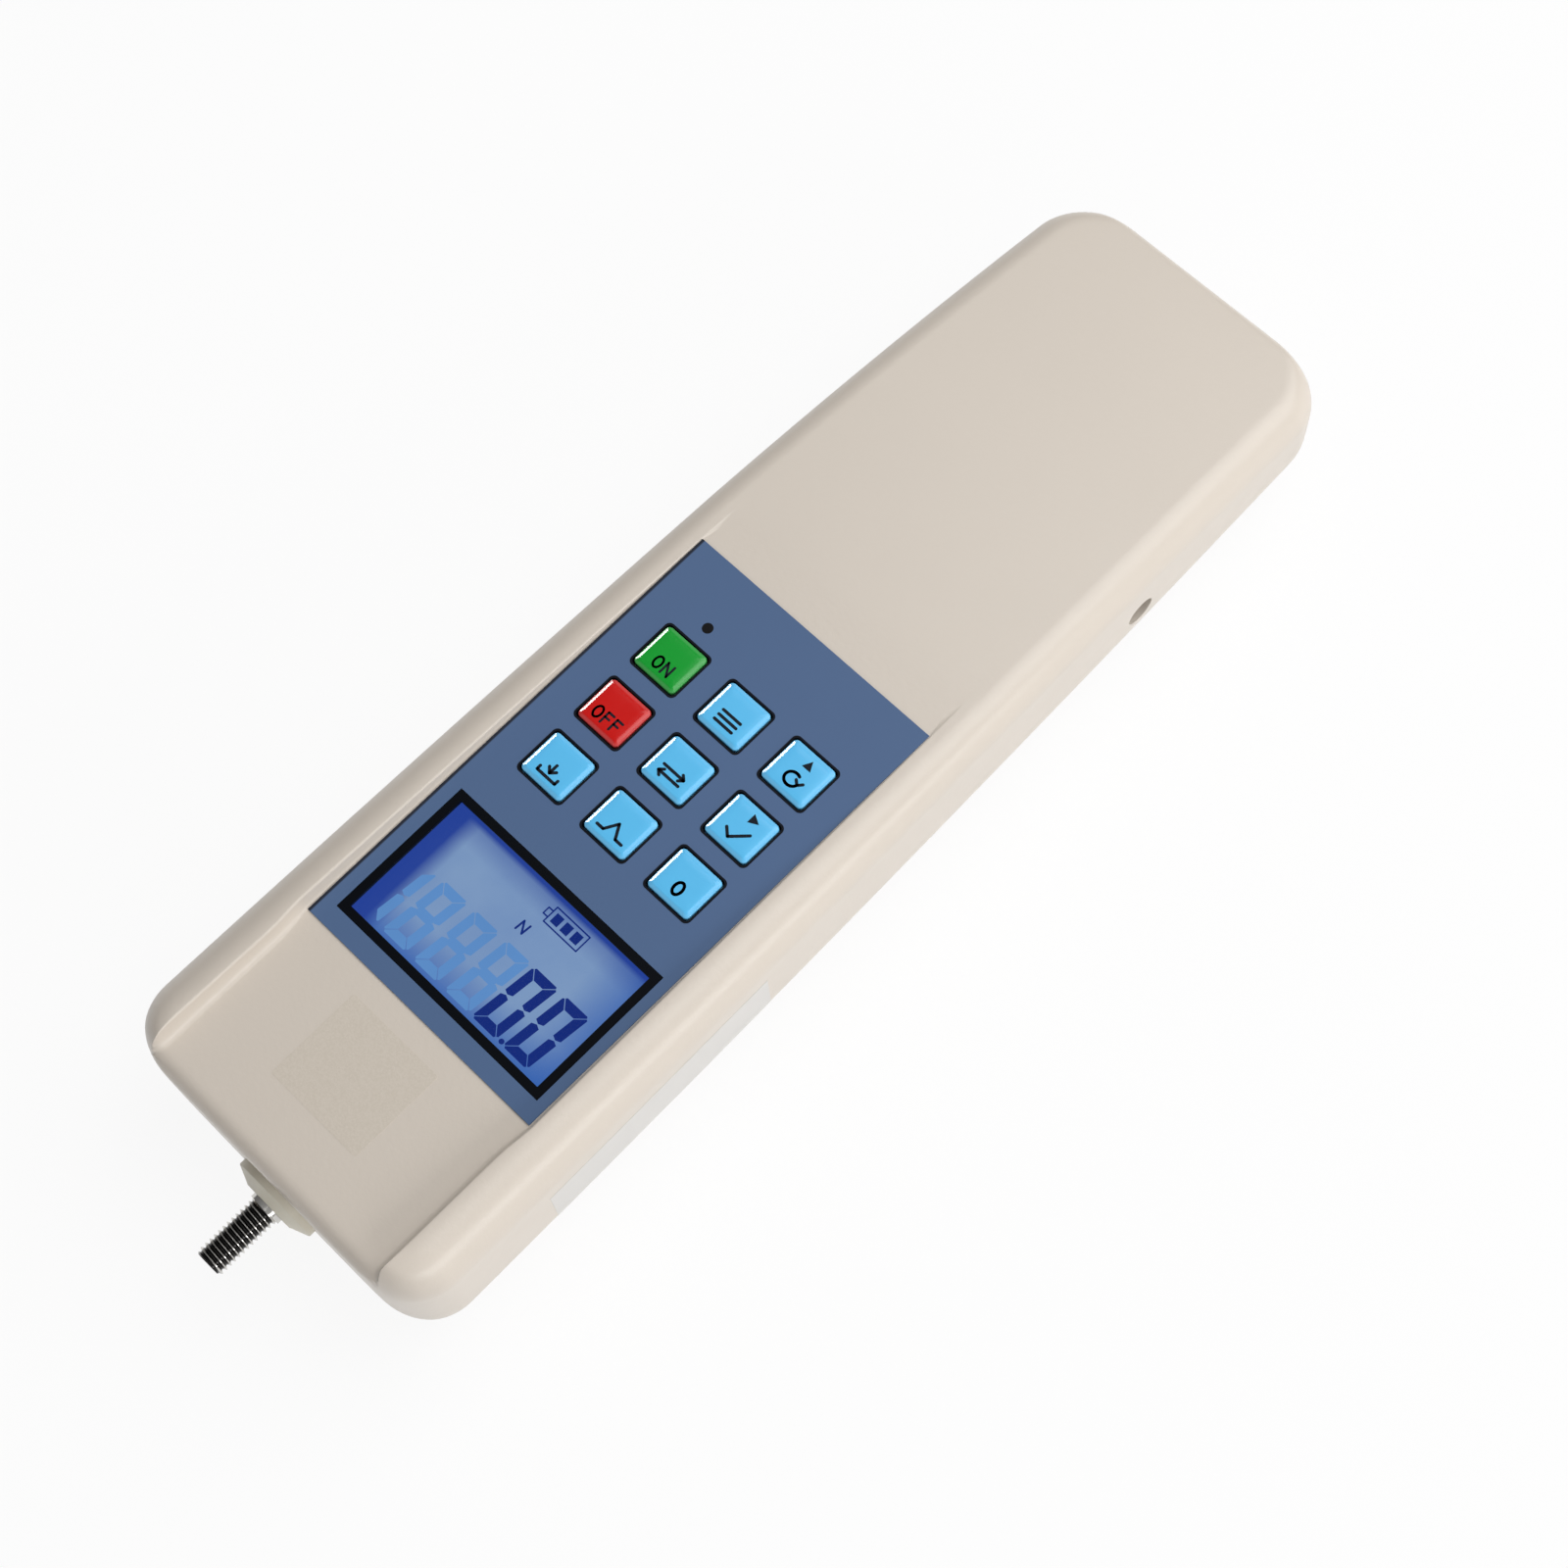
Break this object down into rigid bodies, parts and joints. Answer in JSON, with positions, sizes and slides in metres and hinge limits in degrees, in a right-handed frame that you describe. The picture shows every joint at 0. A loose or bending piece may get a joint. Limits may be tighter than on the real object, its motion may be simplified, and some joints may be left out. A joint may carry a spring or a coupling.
{
  "type": "digital force gauge",
  "caption": "Handheld digital push and pull force gauge: tapered beige housing, recessed keypad panel with display and press keys, and a threaded measuring shaft at one end.",
  "frame": {"origin": "centre of the four threaded standoffs of the stand mount, on the flat back of the housing", "axes": "+Z out of the display, away from the flat back; +Y along the housing, away from the measuring shaft, which points to -Y; +X to the right of a reader who looks at the display with the shaft nearest"},
  "size_m": [0.0742, 0.2487, 0.0359],
  "materials": {
    "housing_plastic": "moulded beige plastic with a fine spark grain",
    "zinc_steel": "zinc plated",
    "panel_sheet": "printed grey-blue sheet with a satin surface",
    "switch_plastic": "moulded",
    "bezel_plastic": "black",
    "window_clear": "clear",
    "foam_rubber": "foam",
    "lcd_cell": "blue lit display",
    "light_guide": "white",
    "frame_plastic": "moulded",
    "lamp_dark": "dark",
    "lamp_body": "clear red",
    "board_green": "solder mask",
    "component_black": "moulded",
    "buzzer_plastic": "moulded",
    "shaft_steel": "turned and plated",
    "nut_steel": "plated",
    "collar_plastic": "moulded beige plastic",
    "bush_brass": "turned",
    "beam_aluminium": "machined",
    "gauge_foil": "film",
    "bolt_black": "blackened",
    "plate_aluminium": "machined",
    "standoff_brass": "turned",
    "cell_wrap": "plastic sleeve",
    "clamp_steel": "sheet",
    "socket_plastic": "moulded",
    "key_green": "moulded",
    "key_red": "moulded",
    "key_blue": "moulded",
    "plunger_plastic": "moulded"
  },
  "bodies": {
    "housing": {"front_cover": "housing_plastic", "back_housing": "housing_plastic", "shell_screws": "zinc_steel", "keypad_panel": "panel_sheet", "switch_housings": "switch_plastic", "lcd_bezel": "bezel_plastic", "lcd_window": "window_clear", "lcd_gasket": "foam_rubber", "lcd_glass": "lcd_cell", "lcd_backlight": "light_guide", "lcd_frame": "frame_plastic", "led_window": "lamp_dark", "power_led": "lamp_body", "main_board": "board_green", "board_components": "component_black", "board_screws": "zinc_steel", "buzzer": "buzzer_plastic", "shaft_collar": "collar_plastic", "shaft_bush": "bush_brass", "load_cell": "beam_aluminium", "strain_gauges": "gauge_foil", "load_cell_bolts": "bolt_black", "chassis_plate": "plate_aluminium", "chassis_screws": "zinc_steel", "stand_standoffs": "standoff_brass", "battery_cells": "cell_wrap", "battery_clamp": "clamp_steel", "battery_clamp_screws": "zinc_steel", "charging_socket": "socket_plastic"},
    "shaft": {"measuring_shaft": "shaft_steel", "shaft_locknut": "nut_steel"},
    "button_on": {"key_on": "key_green", "plunger_on": "plunger_plastic"},
    "button_off": {"key_off": "key_red", "plunger_off": "plunger_plastic"},
    "button_set": {"key_set": "key_blue", "plunger_set": "plunger_plastic"},
    "button_unit": {"key_unit": "key_blue", "plunger_unit": "plunger_plastic"},
    "button_save": {"key_save": "key_blue", "plunger_save": "plunger_plastic"},
    "button_peak": {"key_peak": "key_blue", "plunger_peak": "plunger_plastic"},
    "button_zero": {"key_zero": "key_blue", "plunger_zero": "plunger_plastic"},
    "button_rotate": {"key_rotate": "key_blue", "plunger_rotate": "plunger_plastic"},
    "button_check": {"key_check": "key_blue", "plunger_check": "plunger_plastic"}
  },
  "joints": [
    {"name": "shaft_load", "type": "slide", "parent": "housing", "child": "shaft", "axis": [0, 1, 0], "range_m": [-0.0003, 0.0003], "stiffness_N_per_m": 5000, "deforming": ["load_cell"]},
    {"name": "press_on", "type": "slide", "parent": "housing", "child": "button_on", "axis": [0, 0, -1], "range_m": [0, 0.0005], "stiffness_N_per_m": 800, "springref_m": -0.0003},
    {"name": "press_off", "type": "slide", "parent": "housing", "child": "button_off", "axis": [0, 0, -1], "range_m": [0, 0.0005], "stiffness_N_per_m": 800, "springref_m": -0.0003},
    {"name": "press_set", "type": "slide", "parent": "housing", "child": "button_set", "axis": [0, 0, -1], "range_m": [0, 0.0005], "stiffness_N_per_m": 800, "springref_m": -0.0003},
    {"name": "press_unit", "type": "slide", "parent": "housing", "child": "button_unit", "axis": [0, 0, -1], "range_m": [0, 0.0005], "stiffness_N_per_m": 800, "springref_m": -0.0003},
    {"name": "press_save", "type": "slide", "parent": "housing", "child": "button_save", "axis": [0, 0, -1], "range_m": [0, 0.0005], "stiffness_N_per_m": 800, "springref_m": -0.0003},
    {"name": "press_peak", "type": "slide", "parent": "housing", "child": "button_peak", "axis": [0, 0, -1], "range_m": [0, 0.0005], "stiffness_N_per_m": 800, "springref_m": -0.0003},
    {"name": "press_zero", "type": "slide", "parent": "housing", "child": "button_zero", "axis": [0, 0, -1], "range_m": [0, 0.0005], "stiffness_N_per_m": 800, "springref_m": -0.0003},
    {"name": "press_rotate", "type": "slide", "parent": "housing", "child": "button_rotate", "axis": [0, 0, -1], "range_m": [0, 0.0005], "stiffness_N_per_m": 800, "springref_m": -0.0003},
    {"name": "press_check", "type": "slide", "parent": "housing", "child": "button_check", "axis": [0, 0, -1], "range_m": [0, 0.0005], "stiffness_N_per_m": 800, "springref_m": -0.0003}
  ]
}
